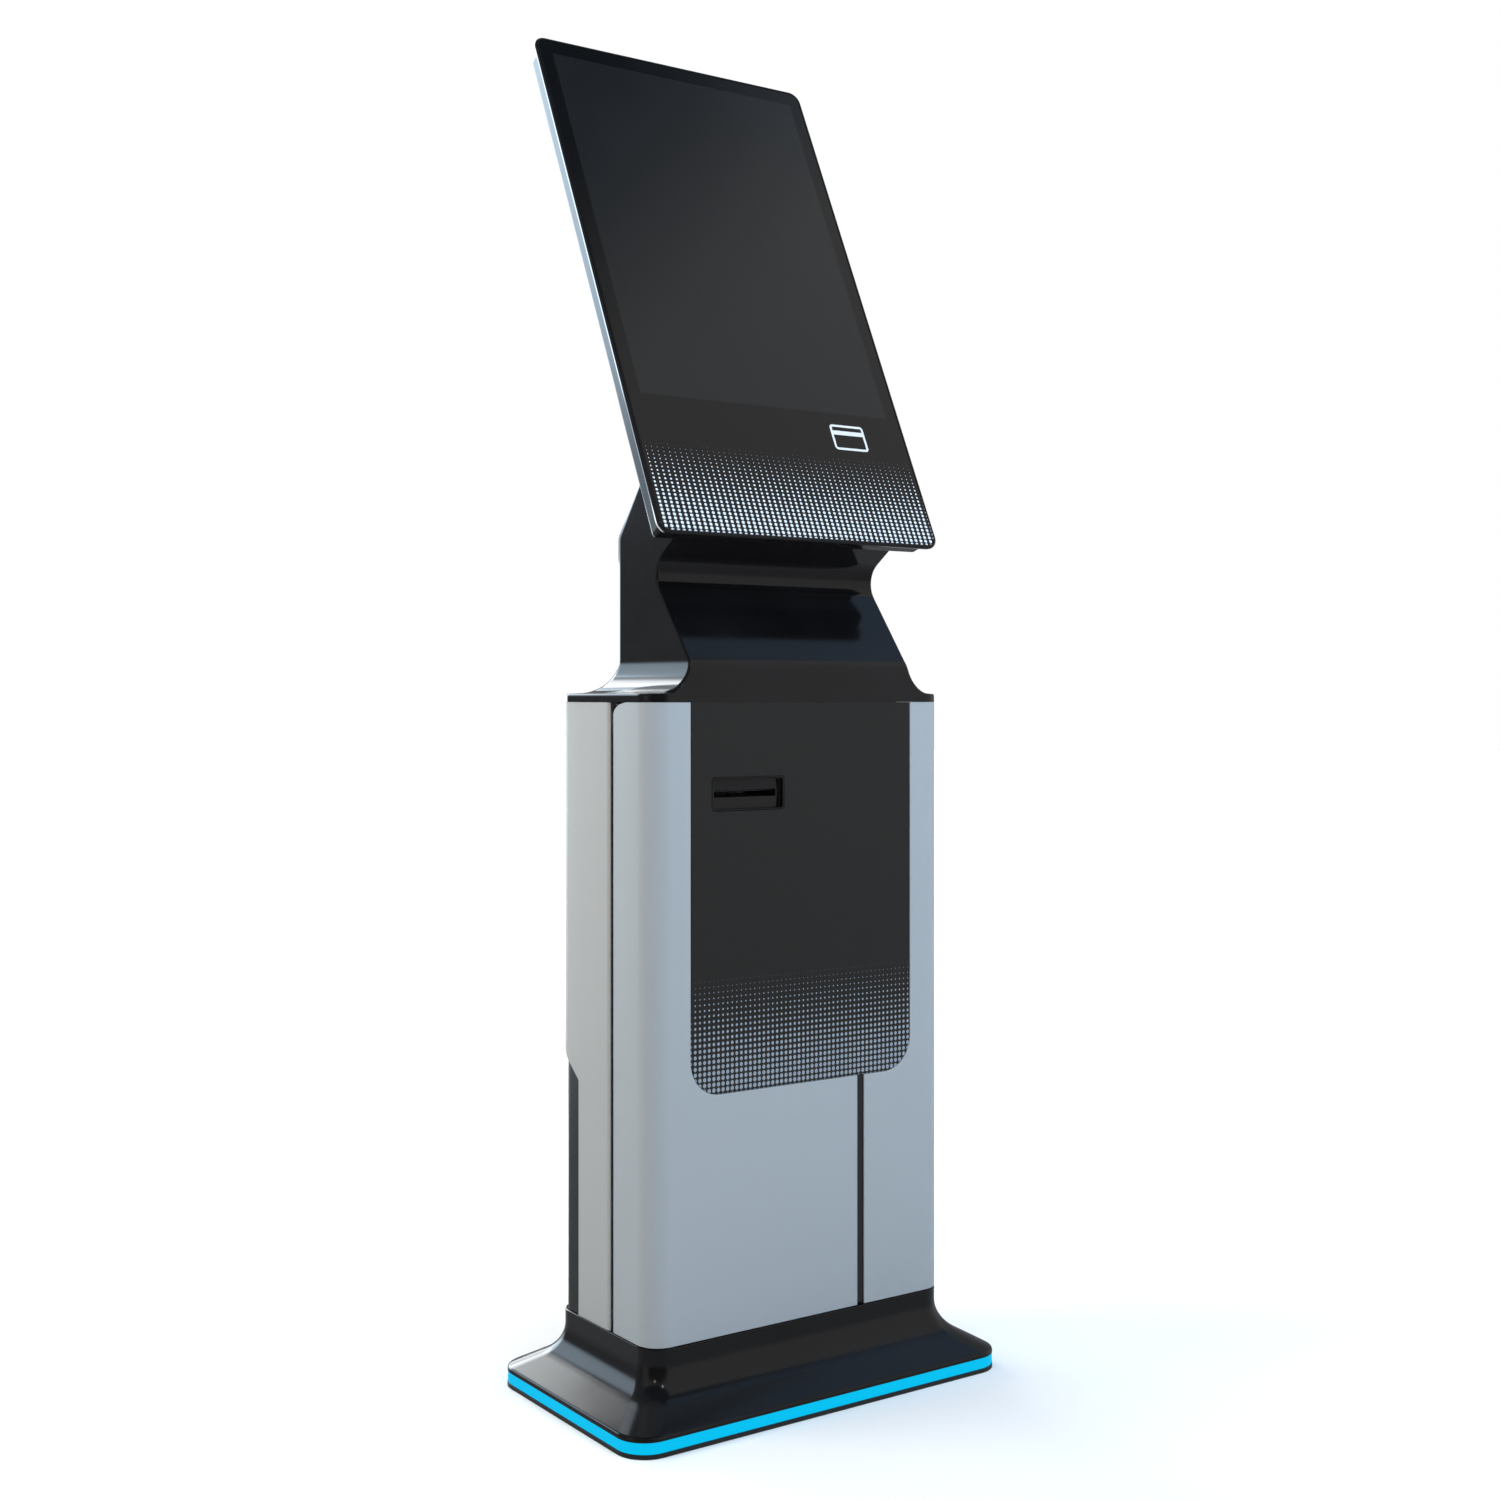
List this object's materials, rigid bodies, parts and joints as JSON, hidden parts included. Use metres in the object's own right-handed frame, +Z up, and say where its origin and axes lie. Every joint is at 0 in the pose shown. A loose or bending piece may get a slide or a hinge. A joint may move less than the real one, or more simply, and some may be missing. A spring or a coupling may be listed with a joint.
{
  "type": "self checkout kiosk",
  "caption": "Free-standing self checkout kiosk: tilted portrait touch display on a moulded neck, slim pedestal with opening front door and receipt printer, plinth with light band.",
  "frame": {"origin": "on the floor, under the middle of the plinth and of its cable entry", "axes": "+Z up, customer side faces -Y, +X to the customer's right"},
  "size_m": [0.536, 0.372, 1.6516],
  "materials": {
    "frame_black": "satin black powder coat",
    "led_board": "white light strip board",
    "light_band": "cyan lit diffuser",
    "gloss_black": "gloss black moulding",
    "zinc_steel": "zinc plated steel",
    "warm_grey_paint": "fine textured warm grey powder coat",
    "blue_grey_paint": "satin blue-grey paint",
    "black_plastic": "moulded black",
    "red_plastic": "translucent red rocker",
    "controller_case": "ribbed black case",
    "printer_plastic": "dark grey moulding",
    "lid_plastic": "green release cover",
    "platen_rubber": "ground rubber",
    "receipt_paper": "white thermal paper",
    "button_plastic": "blue button",
    "insert_satin": "satin black panel with printed dots",
    "lock_chrome": "chrome plate",
    "cover_glass": "black-bordered cover glass",
    "display_black": "display panel, off",
    "housing_plastic": "black rear housing",
    "circuit_board": "green circuit board"
  },
  "bodies": {
    "root": {"base_plate": "frame_black", "led_strip": "led_board", "led_diffuser": "light_band", "plinth_cover": "gloss_black", "post_front_left": "zinc_steel", "post_front_right": "zinc_steel", "post_rear_left": "zinc_steel", "post_rear_right": "zinc_steel", "upper_frame": "zinc_steel", "neck_base": "zinc_steel", "equipment_shelf": "zinc_steel", "side_cover_left": "warm_grey_paint", "side_cover_right": "warm_grey_paint", "rear_panel": "frame_black", "cap_neck": "gloss_black", "neck_mast": "zinc_steel", "power_supply": "zinc_steel", "power_inlet": "black_plastic", "fan_housing": "black_plastic", "fan_grille": "zinc_steel", "controller": "controller_case", "printer_chassis": "zinc_steel", "printer_mechanism": "printer_plastic", "lid_pins": "zinc_steel", "roll_spindle": "zinc_steel", "hinge_bracket_top": "zinc_steel", "hinge_bracket_bottom": "zinc_steel", "lock_strike": "zinc_steel", "head_bezel": "gloss_black", "cover_glass": "cover_glass", "lcd_panel": "display_black", "head_housing": "housing_plastic", "head_bracket": "zinc_steel", "display_board": "circuit_board", "reader_board": "circuit_board", "head_screws": "zinc_steel", "panel_screws": "zinc_steel"},
    "power_switch": {"power_switch": "red_plastic"},
    "fan_rotor": {"fan_rotor": "black_plastic"},
    "printer_lid": {"printer_lid": "lid_plastic"},
    "platen_roller": {"platen_roller": "platen_rubber"},
    "paper_roll": {"paper_roll": "receipt_paper"},
    "feed_button": {"feed_button": "button_plastic"},
    "door": {"door_skin_left": "blue_grey_paint", "door_skin_right": "blue_grey_paint", "door_frame": "frame_black", "door_rail_top": "zinc_steel", "door_rail_bottom": "zinc_steel", "insert_panel": "insert_satin", "slot_bezel": "gloss_black", "hinge_leaf_top": "zinc_steel", "hinge_leaf_bottom": "zinc_steel", "lock_barrel": "lock_chrome"},
    "lock_plug": {"lock_plug": "lock_chrome"}
  },
  "joints": [
    {"name": "door_hinge", "type": "hinge", "parent": "root", "child": "door", "pos_m": [-0.211, -0.023, 0.46], "axis": [0, 0, -1], "range_deg": [0, 100]},
    {"name": "lock_turn", "type": "hinge", "parent": "door", "child": "lock_plug", "pos_m": [0.19, -0.06, 0.46], "axis": [1, 0, 0], "range_deg": [0, 90]},
    {"name": "printer_lid_hinge", "type": "hinge", "parent": "root", "child": "printer_lid", "pos_m": [-0.081, -0.037, 0.716], "axis": [-1, 0, 0], "range_deg": [0, 75]},
    {"name": "paper_roll_spin", "type": "hinge", "parent": "root", "child": "paper_roll", "pos_m": [-0.081, 0.035, 0.705], "axis": [1, 0, 0], "continuous": true},
    {"name": "platen_spin", "type": "hinge", "parent": "root", "child": "platen_roller", "pos_m": [-0.081, -0.078, 0.709], "axis": [1, 0, 0], "continuous": true},
    {"name": "feed_button_press", "type": "slide", "parent": "root", "child": "feed_button", "axis": [0, 1, 0], "range_m": [0, 0.0015], "stiffness_N_per_m": 400, "springref_m": -0.001},
    {"name": "power_switch_rock", "type": "hinge", "parent": "root", "child": "power_switch", "pos_m": [-0.102, 0.0965, 0.17], "axis": [1, 0, 0], "range_deg": [0, 14]},
    {"name": "fan_spin", "type": "hinge", "parent": "root", "child": "fan_rotor", "pos_m": [0.09, 0.09, 0.56], "axis": [0, 1, 0], "continuous": true}
  ],
  "couplings": [
    {"joint": "platen_spin", "follows": "paper_roll_spin", "ratio": 6.6667}
  ]
}
